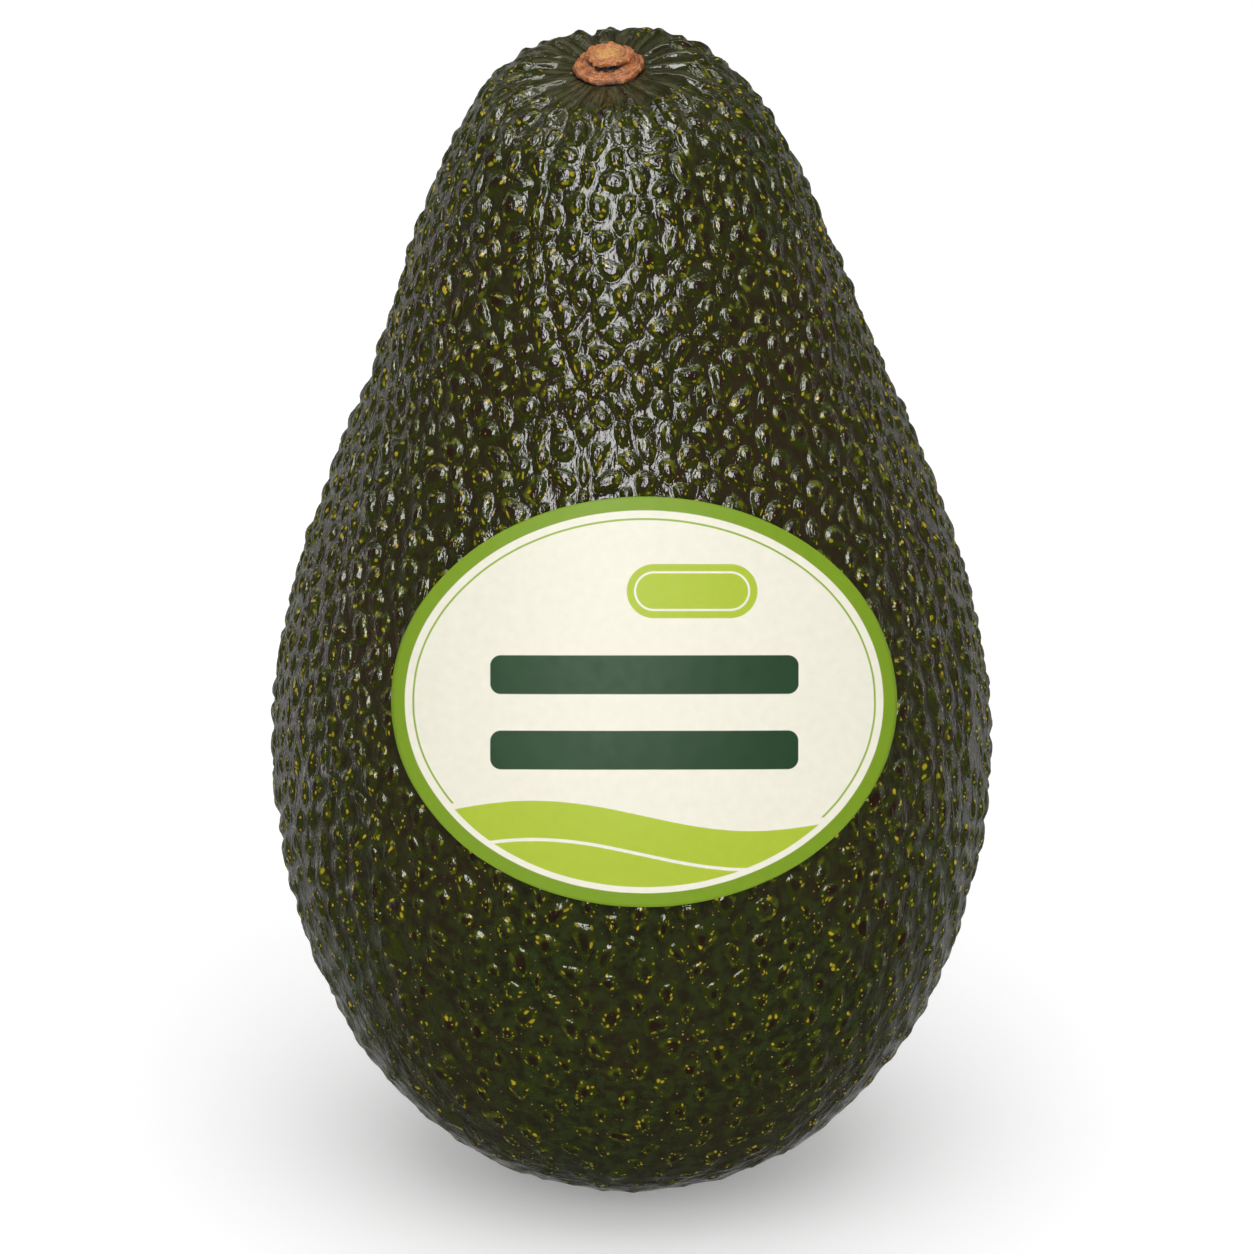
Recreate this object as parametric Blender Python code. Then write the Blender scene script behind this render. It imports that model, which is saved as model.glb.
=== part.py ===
"""A whole avocado standing on its broad end: the fruit, the woody button of its
stem, and an oval sticker on its front. The front faces -Y and +Z is up. The
origin is the centre of the small flat spot that the fruit rests on."""

import bpy
import numpy as np
from math import cos, pi, radians, sin
from mathutils import Vector
from mathutils.bvhtree import BVHTree
from mathutils.geometry import interpolate_bezier

MM = 0.001

# Fruit, measured along its own axis, as if the neck did not lean.
fruit_length = 103.6 * MM
belly_radius = 31.6 * MM
belly_height = 40.0 * MM
neck_radius = 23.3 * MM
neck_drop = 32.1 * MM            # the neck's knot lies this far below the rim
neck_slope = radians(22.4)       # how far the flank leans in at the neck
rest_radius = 7.5 * MM           # the flat spot
rest_slope = radians(8.0)        # how steeply the skin leaves the flat spot
lean_angle = radians(11.1)       # the neck bends over by this much at the stem
lean_start = 42.0 * MM           # height at which it starts to bend
lean_heading = radians(19.2)     # from the front towards -X

# Hollow that the stem sits in.
rim_spread = 3.2 * MM            # from the hollow's floor out to its rim
hollow_depth = 0.6 * MM

# Stem button: a round base with a smaller cap, and a crack between them.
stem_radius = 3.0 * MM
stem_height = 0.8 * MM
cap_radius = 2.0 * MM
cap_height = 1.1 * MM
crack_depth = 0.35 * MM
crack_height = 0.2 * MM
stem_edge = 0.25 * MM            # rounding of the outer edges

# Sticker: its oval is true in the direction that it faces.
label_width = 43.0 * MM
label_height = 34.9 * MM
label_thickness = 0.2 * MM
label_centre_height = 54.1 * MM
label_centre_across = 1.1 * MM
label_facing = radians(20.0)     # upwards from level

clearance = 0.3 * MM             # between pieces that touch

turns = 48                       # faces round the fruit
stem_turns = 32

stem_seat_radius = stem_radius + clearance
rim_radius = stem_seat_radius + rim_spread


def fruit_knots():
    """Radius, height and direction of the outline at each knot, from the flat
    spot up to the floor of the hollow, with the share of the span to the knot
    before and to the knot after that each handle takes."""
    top = fruit_length
    return [
        ((rest_radius, 0.0), (cos(rest_slope), sin(rest_slope)), 0.0, 0.26),
        ((belly_radius, belly_height), (0.0, 1.0), 0.50, 0.32),
        ((neck_radius, top - neck_drop), (-sin(neck_slope), cos(neck_slope)), 0.31, 0.35),
        ((rim_radius, top), (-1.0, 0.0), 0.21, 0.45),
        ((stem_seat_radius, top - hollow_depth), (-1.0, 0.0), 0.45, 0.0),
    ]


def outline(steps):
    """The knots joined by Bezier curves, as rows of radius and height."""
    knots = fruit_knots()
    points = []
    for start, end, count in zip(knots[:-1], knots[1:], steps):
        a, b = Vector(start[0]), Vector(end[0])
        span = (b - a).length
        leave = a + Vector(start[1]) * start[3] * span
        arrive = b - Vector(end[1]) * end[2] * span
        curve = interpolate_bezier(a.to_3d(), leave.to_3d(), arrive.to_3d(), b.to_3d(), count + 1)
        points += curve[1:] if points else curve
    return np.array([(p.x, p.y) for p in points])


def leaned(across, forward, height):
    """Carries points given beside and in front of the fruit's own axis onto the
    leaning fruit. Above lean_start the axis is an arc that turns by lean_angle
    over the rest of the fruit's length."""
    bend_radius = (fruit_length - lean_start) / lean_angle
    turned = np.maximum(height - lean_start, 0.0) / bend_radius
    out = bend_radius * (1 - np.cos(turned)) + forward * np.cos(turned)
    up = np.where(turned > 0, lean_start + bend_radius * np.sin(turned), height)
    up = up - forward * np.sin(turned)
    x = across * cos(lean_heading) - out * sin(lean_heading)
    y = -across * sin(lean_heading) - out * cos(lean_heading)
    return np.stack([x, y, up], axis=-1)


def turned_rings(profile, count):
    """One ring of points for each row of radius and height."""
    angle = np.arange(count) * 2 * pi / count
    radius, height = profile[:, :1], profile[:, 1:]
    return leaned(radius * np.cos(angle), radius * np.sin(angle), height)


def ring_faces(rings, count):
    """Quads between rings that run upwards, facing outwards."""
    faces = []
    for ring in range(rings - 1):
        for turn in range(count):
            after = (turn + 1) % count
            low, high = ring * count, (ring + 1) * count
            faces.append((low + turn, high + turn, high + after, low + after))
    return faces


def closed_solid(name, profile, count, material):
    """A turned profile, from its axis at the bottom to its axis at the top,
    with a flat face over each end."""
    points = turned_rings(profile, count).reshape(-1, 3)
    faces = ring_faces(len(profile), count)
    last = (len(profile) - 1) * count
    faces.append(tuple(range(count)))
    faces.append(tuple(last + turn for turn in reversed(range(count))))
    return add_object(name, points, faces, material)


def add_object(name, points, faces, material):
    mesh = bpy.data.meshes.new(name)
    mesh.from_pydata([tuple(p) for p in points], [], faces)
    mesh.materials.append(material)
    mesh.validate()
    mesh.shade_smooth()
    mesh.set_sharp_from_angle(angle=radians(35))
    piece = bpy.data.objects.new(name, mesh)
    bpy.context.collection.objects.link(piece)
    return piece


def add_material(name, colour, roughness):
    material = bpy.data.materials.new(name)
    material.use_nodes = True
    shader = material.node_tree.nodes["Principled BSDF"]
    shader.inputs["Base Color"].default_value = (*colour, 1.0)
    shader.inputs["Roughness"].default_value = roughness
    shader.inputs["Metallic"].default_value = 0.0
    return material


def make_fruit(material):
    return closed_solid("fruit", outline((12, 16, 8, 5)), turns, material)


def make_stem_button(material):
    """Stands in the hollow, clear of its floor, and leans with the neck."""
    foot = fruit_length - hollow_depth + clearance
    crack = foot + stem_height
    top = crack + crack_height + cap_height
    corner = stem_edge * (1 - cos(pi / 4))
    profile = [
        (stem_radius, foot),
        (stem_radius, crack - stem_edge),
        (stem_radius - corner, crack - corner),
        (stem_radius - stem_edge, crack),
        (cap_radius - crack_depth, crack),
        (cap_radius - crack_depth, crack + crack_height),
        (cap_radius, crack + crack_height),
        (cap_radius, top - stem_edge),
        (cap_radius - corner, top - corner),
        (cap_radius - stem_edge, top),
    ]
    return closed_solid("stem_button", np.array(profile), stem_turns, material)


def skin_under_label():
    """A fine copy of the fruit's skin, to lay the sticker on."""
    fine_turns = 4 * turns
    profile = outline((48, 64, 16, 8))
    points = turned_rings(profile, fine_turns).reshape(-1, 3)
    return BVHTree.FromPolygons(
        [Vector(p) for p in points], ring_faces(len(profile), fine_turns)
    )


def make_label(material):
    """Rings of points on an oval, carried along the facing direction onto the
    skin and lifted off it by the clearance, then again by the thickness."""
    rings, around = 9, 64
    skin = skin_under_label()
    facing = Vector((0.0, -cos(label_facing), sin(label_facing)))
    upwards = Vector((0.0, sin(label_facing), cos(label_facing)))
    before = Vector((label_centre_across, -fruit_length, label_centre_height))
    centre = skin.ray_cast(before, Vector((0, 1, 0)))[0]
    start = centre + facing * fruit_length

    inner, outer = [], []
    for ring in range(rings + 1):
        share = ring / rings
        for turn in range(around if ring else 1):
            angle = turn * 2 * pi / around
            aim = start + Vector((1, 0, 0)) * cos(angle) * share * label_width / 2
            aim += upwards * sin(angle) * share * label_height / 2
            place, normal, _, _ = skin.ray_cast(aim, -facing)
            inner.append(place + normal * clearance)
            outer.append(place + normal * (clearance + label_thickness))

    def index(ring, turn):
        return 0 if ring == 0 else 1 + (ring - 1) * around + turn % around

    front, back = [], []
    for ring in range(rings):
        for turn in range(around):
            corners = [index(ring, turn), index(ring + 1, turn)]
            corners += [index(ring + 1, turn + 1), index(ring, turn + 1)]
            corners = list(dict.fromkeys(corners))
            front.append(tuple(c + len(inner) for c in corners))
            back.append(tuple(reversed(corners)))
    edge = []
    for turn in range(around):
        here, after = index(rings, turn), index(rings, turn + 1)
        edge.append((here, after, after + len(inner), here + len(inner)))
    return add_object("label", inner + outer, front + back + edge, material)


for old in list(bpy.data.objects):
    bpy.data.objects.remove(old, do_unlink=True)

make_fruit(add_material("avocado_skin", (0.027, 0.036, 0.013), 0.38))
make_stem_button(add_material("dry_stem_wood", (0.45, 0.19, 0.08), 0.75))
make_label(add_material("label_film", (0.85, 0.83, 0.76), 0.35))
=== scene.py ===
import bpy
from functools import partial
import numpy as np
from math import cos, pi, radians, sin, tan
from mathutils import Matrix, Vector


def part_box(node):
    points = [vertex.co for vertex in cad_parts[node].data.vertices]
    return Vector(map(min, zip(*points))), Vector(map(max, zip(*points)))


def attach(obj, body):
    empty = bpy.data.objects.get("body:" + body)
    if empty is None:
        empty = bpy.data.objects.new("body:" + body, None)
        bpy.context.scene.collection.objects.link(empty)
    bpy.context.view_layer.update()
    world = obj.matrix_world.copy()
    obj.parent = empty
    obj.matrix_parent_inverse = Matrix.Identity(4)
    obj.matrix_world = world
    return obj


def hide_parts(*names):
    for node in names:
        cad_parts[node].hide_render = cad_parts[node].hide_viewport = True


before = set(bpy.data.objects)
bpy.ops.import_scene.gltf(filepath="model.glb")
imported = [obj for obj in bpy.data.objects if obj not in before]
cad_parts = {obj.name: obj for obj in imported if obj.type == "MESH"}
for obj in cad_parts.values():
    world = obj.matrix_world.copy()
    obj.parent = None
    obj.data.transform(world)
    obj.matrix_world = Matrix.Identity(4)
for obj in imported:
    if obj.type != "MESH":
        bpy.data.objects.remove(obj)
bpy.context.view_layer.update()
fruitLow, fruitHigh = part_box("fruit")
mm = 0.001
print("frame loaded:", ", ".join(sorted(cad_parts)))


def linearColour(hexText):
    # sRGB hex to linear: below 0.04045 a twelfth and a bit, above it the 2.4 power
    level = np.array([int(hexText[i:i + 2], 16) / 255 for i in (1, 3, 5)])
    linear = np.where(level <= 0.04045, level / 12.92, ((level + 0.055) / 1.055) ** 2.4)
    return (*[float(x) for x in linear], 1.0)


def addNode(tree, kind, *values, out=0, links=None, **settings):
    # values fill the inputs in order and links by name or number, each from a socket or a plain
    # value; settings are the node's own properties; gives back one of the node's outputs
    node = tree.nodes.new("ShaderNode" + kind)
    for key, value in settings.items():
        setattr(node, key, value)
    for key, value in [*enumerate(values), *(links or {}).items()]:
        if isinstance(value, bpy.types.NodeSocket):
            tree.links.new(value, node.inputs[key])
        else:
            node.inputs[key].default_value = value
    return node.outputs[out]


def newMaterial(name):
    # the material, its one shader, and addNode for its tree
    material = bpy.data.materials.new(name)
    material.use_nodes = True
    tree = material.node_tree
    return material, tree.nodes["Principled BSDF"], partial(addNode, tree)


softStep = dict(interpolation_type="SMOOTHSTEP")       # for a Map Range node
colourMix = dict(data_type="RGBA", out=2)              # for a Mix node


def linkShader(shader, inputs):
    for name, socket in inputs.items():
        shader.id_data.links.new(socket, shader.inputs[name])


def smoothStep(low, high, x):
    # 0 below low, 1 above high, and 3t^2 - 2t^3 between
    t = np.clip((x - low) / (high - low), 0, 1)
    return t * t * (3 - 2 * t)


def waves(points, wavelength, seed, count=28):
    # a soft random field, about -1 to 1: a sum of sine waves in random directions and phases
    rng = np.random.default_rng(seed)
    way = rng.normal(size=(3, count))
    way *= rng.uniform(0.7, 1.4, count) * 2 * pi / wavelength / np.linalg.norm(way, axis=0)
    return np.sin(points @ way + rng.uniform(0, 2 * pi, count)).sum(1) * (1.4 / count) ** 0.5


def newPiece(name, points, faces, material, uvMaps=None):
    # points in millimetres; faces as arrays with one row of corners each; uvMaps by name, with a
    # row for each corner
    mesh = bpy.data.meshes.new(name)
    faces = [faces] if isinstance(faces, np.ndarray) else faces
    sides = np.concatenate([np.full(len(group), group.shape[1]) for group in faces])
    mesh.vertices.add(len(points))
    mesh.vertices.foreach_set("co", (points * mm).astype(np.float32).ravel())
    mesh.loops.add(int(sides.sum()))
    corners = np.concatenate([group.ravel() for group in faces])
    mesh.loops.foreach_set("vertex_index", corners.astype(np.int32))
    mesh.polygons.add(len(sides))
    mesh.polygons.foreach_set("loop_start", (np.cumsum(sides) - sides).astype(np.int32))
    mesh.update(calc_edges=True)
    for key, uv in (uvMaps or {}).items():
        layer = mesh.uv_layers.new(name=key)
        layer.uv.foreach_set("vector", uv.astype(np.float32).ravel())
    mesh.validate()
    mesh.shade_smooth()
    mesh.materials.append(material)
    piece = bpy.data.objects.new(name, mesh)
    bpy.context.collection.objects.link(piece)
    print(name, "made:", len(points), "points,", int((sides - 2).sum()), "triangles")
    return piece


def rideOnFruit(piece, node):
    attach(piece, "root")
    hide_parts(node)


fruit = dict(                # millimetres and degrees, along the fruit's own axis
    length=103.6,
    bellyRadius=31.6, bellyHeight=40.0,
    neckRadius=23.3, neckDrop=32.1, neckSlope=22.4,
    restRadius=7.5, restSlope=8.0,
    rimRadius=6.5, collarRadius=3.25, collarDepth=0.16, seatRadius=2.6, seatDepth=0.55,
    leanAngle=11.1, leanStart=42.0, leanHeading=19.2,
)


spanSteps = 200              # rows of the outline between two knots


def bezierRows(start, leave, arrive, end):
    # the cubic Bezier curve from start to end, as rows of radius and height
    t = np.linspace(0, 1, spanSteps + 1)[:, None]
    s = 1 - t
    return s ** 3 * start + 3 * s ** 2 * t * leave + 3 * s * t * t * arrive + t ** 3 * end


def fruitOutline():
    # from the middle of the flat spot, up the flank, over the rim and in to the middle of the
    # hollow's floor
    f = fruit
    rest, neck = radians(f["restSlope"]), radians(f["neckSlope"])
    knots = [                # place, direction, and its two handles as shares of the spans
        ((f["restRadius"], 0), (cos(rest), sin(rest)), 0, 0.26),
        ((f["bellyRadius"], f["bellyHeight"]), (0, 1), 0.50, 0.32),
        ((f["neckRadius"], f["length"] - f["neckDrop"]), (-sin(neck), cos(neck)), 0.31, 0.35),
        ((f["rimRadius"], f["length"]), (-1, 0), 0.21, 0.45),
        ((f["collarRadius"], f["length"] - f["collarDepth"]), (-1, 0), 0.45, 0.4),
        ((f["seatRadius"], f["length"] - f["seatDepth"]), (-0.6, -0.8), 0.4, 0),
    ]
    rows = [np.array([[0.0, 0.0]])]
    for before, after in zip(knots[:-1], knots[1:]):
        a, b = np.array(before[0], float), np.array(after[0], float)
        span = np.linalg.norm(b - a)
        leave = a + np.array(before[1]) * before[3] * span
        arrive = b - np.array(after[1]) * after[2] * span
        rows.append(bezierRows(a, leave, arrive, b)[:-1])
    seat = f["length"] - f["seatDepth"]
    rows.append(np.array([[f["seatRadius"], seat], [0.0, seat]]))
    return np.vstack(rows)


outline = fruitOutline()
arcLength = np.concatenate([[0], np.cumsum(np.linalg.norm(np.diff(outline, axis=0), axis=1))])
outlineWay = np.gradient(outline, arcLength, axis=0)


def carry(across, forward, axial, turned):
    # a direction on the upright fruit, turned over with the neck and swung to the lean's heading
    heading = radians(fruit["leanHeading"])
    out = forward * np.cos(turned) + axial * np.sin(turned)
    up = axial * np.cos(turned) - forward * np.sin(turned)
    return np.stack([across * cos(heading) - out * sin(heading),
                     -across * sin(heading) - out * cos(heading), up], -1)


def lean(across, forward, height):
    # carries a place beside and in front of the upright fruit's axis onto the leaning fruit:
    # above leanStart the axis is an arc of one bend radius
    bend = (fruit["length"] - fruit["leanStart"]) / radians(fruit["leanAngle"])
    turned = np.maximum(height - fruit["leanStart"], 0) / bend
    middle = carry(0 * turned, bend * (1 - np.cos(turned)), 0 * turned, 0)
    middle[..., 2] = np.where(turned > 0, fruit["leanStart"] + bend * np.sin(turned), height)
    return middle + carry(across, forward, 0 * across, turned), turned, bend


def onFruit(arc, azimuth):
    # the place at this arc length from the flat spot's middle and this azimuth, with the
    # directions around, towards the stem and outwards there
    radius = np.interp(arc, arcLength, outline[:, 0])
    height = np.interp(arc, arcLength, outline[:, 1])
    across, forward = radius * np.cos(azimuth), radius * np.sin(azimuth)
    place, turned, bend = lean(across, forward, height)
    wayRadius = np.interp(arc, arcLength, outlineWay[:, 0])
    wayHeight = np.interp(arc, arcLength, outlineWay[:, 1])
    wayHeight = wayHeight * np.where(turned > 0, 1 - forward / bend, 1)
    around = carry(-np.sin(azimuth), np.cos(azimuth), 0 * azimuth, turned)
    towardsStem = carry(wayRadius * np.cos(azimuth), wayRadius * np.sin(azimuth), wayHeight, turned)
    towardsStem /= np.linalg.norm(towardsStem, axis=-1, keepdims=True)
    return place, around, towardsStem, np.cross(towardsStem, around)


# the form's own height, printed beside the imported frame's
formHeight = onFruit(arcLength[None, :], np.linspace(0, 2 * pi, 96)[:, None])[0][..., 2].max()
print(f"fruit form {formHeight:.2f} mm high, frame {(fruitHigh[2] - fruitLow[2]) / mm:.2f} mm")


pebbles = dict(              # millimetres; sets of three are for the stem, belly and bottom
    spacing=(2.30, 2.80, 3.6), height=(0.34, 0.33, 0.12), size=(1.0, 1.05, 0.95),
    stemEnds=0.80, belly=0.42, bottomStarts=0.16,        # shares of the way up the skin
    width=0.66, length=0.94, taper=0.20,                 # half sizes; wider towards the stem
    footHeight=0.42, footWidth=1.35, footLength=2.1, sunk=0.24,
    smallest=0.76, largest=1.16, lowest=0.75, highest=1.25,
    jitter=0.30, relaxSteps=10, belowRim=1.2,
    seed=7,
)


def alongFruit(arc, stem, belly, bottom):
    # a value that runs from bottom over belly to stem with the arc length
    at = np.array([0.0, pebbles["bottomStarts"], pebbles["belly"], pebbles["stemEnds"], 1.0])
    return np.interp(arc, at * arcLength[-1], [bottom, bottom, belly, stem, stem])


def pebbleCentres():
    # a golden-angle spiral whose turns lie as close as the spacing asks, then shaken and pushed
    # apart; in a close lattice each pebble takes 0.866 of its spacing squared
    rng = np.random.default_rng(pebbles["seed"])
    spacing = alongFruit(arcLength, *pebbles["spacing"])
    perArc = 2 * pi * outline[:, 0] / (0.866 * spacing ** 2)
    total = np.concatenate([[0], np.cumsum((perArc[1:] + perArc[:-1]) / 2 * np.diff(arcLength))])
    inner = 3 * spanSteps    # the outline's first row at the rim
    rimArc = np.interp(-fruit["rimRadius"], -outline[inner:, 0], arcLength[inner:])
    rimArc = rimArc - pebbles["belowRim"]
    last = np.interp(rimArc, arcLength, total)
    index = np.arange(int(last)) + 0.5
    arc = np.interp(index, total, arcLength)
    azimuth = index * pi * (3 - 5 ** 0.5)      # the golden angle
    size = rng.uniform(pebbles["smallest"], pebbles["largest"], len(arc))
    reach = alongFruit(arc, *pebbles["spacing"])
    arc += pebbles["jitter"] * reach * rng.uniform(-1, 1, len(arc))
    radius = np.interp(arc, arcLength, outline[:, 0]).clip(1)
    azimuth += pebbles["jitter"] * reach * rng.uniform(-1, 1, len(arc)) / radius
    for _ in range(pebbles["relaxSteps"]):
        # each pebble moves away from those nearer than the spacing: the sum of
        # push * (own place - theirs), a little under half of it at a time
        arc = arc.clip(0.5, rimArc)
        place, around, stemward, _ = onFruit(arc, azimuth)
        squares = (place ** 2).sum(1)
        distance = squares[:, None] + squares - 2 * place @ place.T
        distance = np.sqrt(np.maximum(distance, 0.01))
        wanted = reach[:, None] * (0.52 * (size[:, None] + size) + 0.08)
        push = np.maximum(0, 1 / distance - 1 / wanted) * (distance > 0.11)      # not itself
        move = (place * push.sum(1)[:, None] - push @ place) * 0.45
        arc = arc + (move * stemward).sum(1) * reach
        radius = np.interp(arc, arcLength, outline[:, 0]).clip(1)
        azimuth = azimuth + (move * around).sum(1) * reach / radius
    return arc.clip(0.5, rimArc), azimuth, size


pebbleArc, pebbleAzimuth, pebbleSize = pebbleCentres()
pebblePlace, pebbleAround, pebbleStemward, pebbleOut = onFruit(pebbleArc, pebbleAzimuth)
luck = np.random.default_rng(pebbles["seed"] + 1)
pebbleHeight = luck.uniform(pebbles["lowest"], pebbles["highest"], len(pebbleArc))
pebbleHeight = pebbleHeight * pebbleSize ** 0.7 * alongFruit(pebbleArc, *pebbles["height"])
pebbleSize = pebbleSize * alongFruit(pebbleArc, *pebbles["size"])
print(len(pebbleArc), "pebbles")


def taperAt(up):
    # the share of a pebble's width this far up it
    return 1 + pebbles["taper"] * np.clip(up, -1.2, 1.2)


def nearPebbles(arc, points, band=7.0, chunk=2048):
    # chunk by chunk along the fruit: which points, which pebbles, and how far each point lies from
    # each pebble around and towards the stem, in pebble sizes
    order = np.argsort(arc)
    for start in range(0, len(order), chunk):
        rows = order[start:start + chunk]
        low, high = arc[rows].min() - band, arc[rows].max() + band
        near = np.nonzero((pebbleArc > low) & (pebbleArc < high))[0]
        side, up, off = [points[rows] @ way[near].T - (pebblePlace[near] * way[near]).sum(1)
                         for way in (pebbleAround, pebbleStemward, pebbleOut)]
        up /= pebbleSize[near] * pebbles["length"]
        side /= pebbleSize[near] * pebbles["width"] * taperAt(up)
        side += 99.0 * (np.abs(off) > 5.0)      # those through the fruit are no neighbours
        yield rows, near, side, up


def pebbleRelief(arc, points):
    # each pebble is a knob with a flat crown, exp(-r^3), on a soft foot drawn out along the fruit,
    # which joins its neighbours into wavy ridges
    relief = np.zeros(len(arc))
    for rows, near, side, up in nearPebbles(arc, points):
        knob = np.exp(-(side ** 2 + up ** 2) ** 1.5)
        foot = np.exp(-(side / pebbles["footWidth"]) ** 2 - (up / pebbles["footLength"]) ** 2)
        relief[rows] = ((knob + pebbles["footHeight"] * foot) * pebbleHeight[near]).sum(1)
    return relief - pebbles["sunk"]


def ownPebble(arc, points):
    # the pebble that each point belongs to
    found = np.zeros(len(arc), int)
    for rows, near, side, up in nearPebbles(arc, points):
        found[rows] = near[(side ** 2 + up ** 2).argmin(1)]
    return found


label = dict(                # millimetres and degrees
    width=43.0, height=34.9, facing=20.0,
    centreHeight=54.1, centreAcross=1.1,
    lift=0.30, thickness=0.10, ripple=0.06, sway=0.02, swayLength=7.0, settled=0.04,
    quadsAcross=120,
    nearArc=70.0, nearRadius=32.0,             # where the search for a place under it starts
)

facing = np.array([0.0, -cos(radians(label["facing"])), sin(radians(label["facing"]))])
labelUp = np.array([0.0, sin(radians(label["facing"])), cos(radians(label["facing"]))])


def frontPlace(right, up, centre, steps=24):
    # where a line against the facing direction through (right, up) from the centre meets the
    # smooth fruit: Newton steps in arc length and azimuth
    arc = np.full(right.shape, label["nearArc"])
    azimuth = pi / 2 - radians(fruit["leanHeading"]) - right / label["nearRadius"]
    target = np.stack([right, up], -1)
    for _ in range(steps):
        place, around, stemward, _ = onFruit(arc, azimuth)
        at = np.stack([place[..., 0] - centre[0], (place - centre) @ labelUp], -1)
        miss = target - at
        radius = np.interp(arc, arcLength, outline[:, 0])
        a, b = around[..., 0] * radius, stemward[..., 0]
        c, d = (around @ labelUp) * radius, stemward @ labelUp
        det = a * d - b * c
        azimuth = azimuth + np.clip((miss[..., 0] * d - miss[..., 1] * b) / det, -0.3, 0.3)
        arc = arc + np.clip((miss[..., 1] * a - miss[..., 0] * c) / det, -9, 9)
    return arc, azimuth


def labelCentre():
    # on the front, at the height and distance across that the label's settings give
    arcs = np.linspace(40, 100, 400)
    azimuths = np.full(400, pi / 2 - radians(fruit["leanHeading"]))
    for _ in range(12):
        place = onFruit(arcs, azimuths)[0]
        azimuths = azimuths - (label["centreAcross"] - place[:, 0]) / label["nearRadius"]
    place = onFruit(arcs, azimuths)[0]
    best = np.abs(place[:, 2] - label["centreHeight"]).argmin()
    return place[best]


centreOfLabel = labelCentre()
print("label centre", np.round(centreOfLabel, 2))


def insideLabel(points):
    # below 1 inside the label's oval, on the front only
    along = points - centreOfLabel
    across, up = along[:, 0] / (label["width"] / 2), along @ labelUp / (label["height"] / 2)
    return across ** 2 + up ** 2 + 9.0 * (points @ facing < 5.0)


skin = dict(                 # millimetres; pairs say where something starts and where it is full
    quadsAcross=108, quadsUp=172,
    crowdingAt=(0.10, 0.25, 0.45, 0.72, 0.95),           # share of the way up the skin
    crowding=(0.55, 0.8, 1.0, 1.45, 2.6),                # share of the quads there
    wander=0.30, wanderLength=4.5,                       # of the pebbles
    pebblesFromStem=(6.0, 10.0), pebblesFromBottom=(5.5, 10.0),
    underLabel=0.45, labelEdge=(0.90, 1.06),
    folds=20, foldHeight=0.62, foldLevel=0.80,           # round the stem
    foldStart=(2.9, 5.0), foldEnd=13.5, foldFade=0.6,
    foldSway=0.35, foldSwayLength=14.0, foldUneven=0.25, foldUnevenLength=5.0,
    swell=0.08, swellLength=9.0, swellFromStem=(4.0, 9.0), swellFromBottom=(5.5, 12.0),
)


def ballGrid(across, up):
    # square grids on a cube, spread by a tangent so that their quads come out alike and pushed out
    # to a ball: four sides with up rows each, and two caps
    wide = np.tan(np.linspace(-pi / 4, pi / 4, across + 1))
    tall = np.tan(np.linspace(-pi / 4, pi / 4, up + 1))
    points, quads, used = [], [], 0
    for swap, sign in ((0, 1), (0, -1), (1, 1), (1, -1), (2, 1), (2, -1)):
        second = wide if swap == 2 else tall
        a, b = [g.ravel() for g in np.meshgrid(wide, second, indexing="ij")]
        face = sign * np.ones_like(a)
        points.append(np.stack([(face, a, b), (a, face, b), (a, b, face)][swap], 1))
        count = len(second)
        corner = (np.arange(across)[:, None] * count + np.arange(count - 1)).ravel() + used
        quads.append(np.stack([corner, corner + count, corner + count + 1, corner + 1], 1))
        used += len(a)
    points = np.vstack(points)
    points /= np.linalg.norm(points, axis=1, keepdims=True)
    _, first, merged = np.unique(np.round(points * 1e6).astype(np.int64), axis=0,
                                 return_index=True, return_inverse=True)
    return points[first], merged.reshape(-1)[np.vstack(quads)]


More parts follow.
